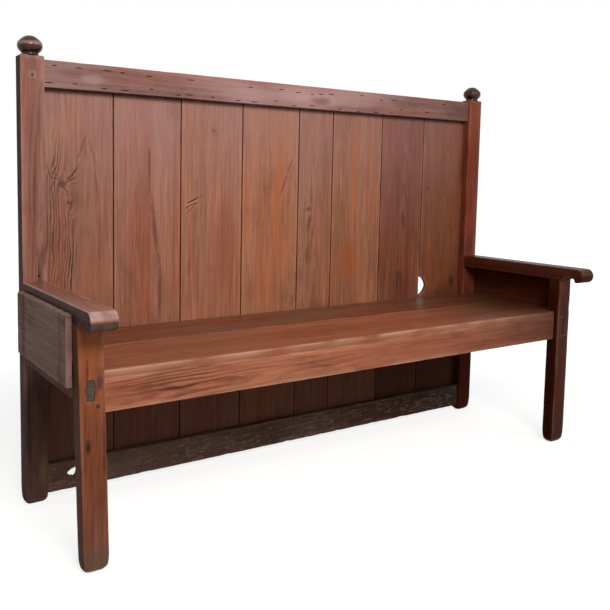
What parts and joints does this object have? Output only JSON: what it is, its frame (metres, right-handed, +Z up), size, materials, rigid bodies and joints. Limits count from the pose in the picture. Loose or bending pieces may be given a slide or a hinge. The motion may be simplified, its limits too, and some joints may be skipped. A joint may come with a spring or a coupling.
{
  "type": "settle bench",
  "caption": "Long plank-back wooden settle with tall posts, turned cushion finials, flat scroll-end arms, boarded seat and nailed side panels.",
  "frame": {"origin": "on the floor under the middle of the settle's bounding box", "axes": "+Z up, the front faces -Y, +X to the right as seen from the front"},
  "size_m": [1.728, 0.5584, 1.234],
  "materials": {
    "pine_posts": "old waxed pine, satin",
    "pine_finials": "dark waxed turned pine, satin",
    "pine_planks": "old waxed pine boards with knots, satin",
    "pine_weathered": "rough weathered pine, matt",
    "pine_seat": "waxed pine worn by sitting, satin",
    "pine_legs": "old waxed pine, satin, worn at the edges",
    "pine_arms": "dark waxed pine worn by hands, satin",
    "pine_panels": "dull grey-brown pine, matt",
    "oak_pegs": "dark end grain of drawn oak pegs, matt"
  },
  "bodies": {
    "root": {"back_post_left": "pine_posts", "back_post_right": "pine_posts", "top_rail": "pine_posts", "finial_left": "pine_finials", "finial_right": "pine_finials", "back_plank_1": "pine_planks", "back_plank_2": "pine_planks", "back_plank_3": "pine_planks", "back_plank_4": "pine_planks", "back_plank_5": "pine_planks", "back_plank_6": "pine_planks", "back_plank_7": "pine_planks", "back_plank_8": "pine_planks", "bottom_rail": "pine_weathered", "seat_back_bearer": "pine_weathered", "seat_board_front": "pine_seat", "seat_board_back": "pine_seat", "front_leg_left": "pine_legs", "front_leg_right": "pine_legs", "seat_front_rail": "pine_legs", "seat_side_rail_left": "pine_legs", "seat_side_rail_right": "pine_legs", "arm_left": "pine_arms", "arm_right": "pine_arms", "side_panel_left": "pine_panels", "side_panel_right": "pine_panels", "frame_pegs": "oak_pegs"}
  },
  "joints": []
}
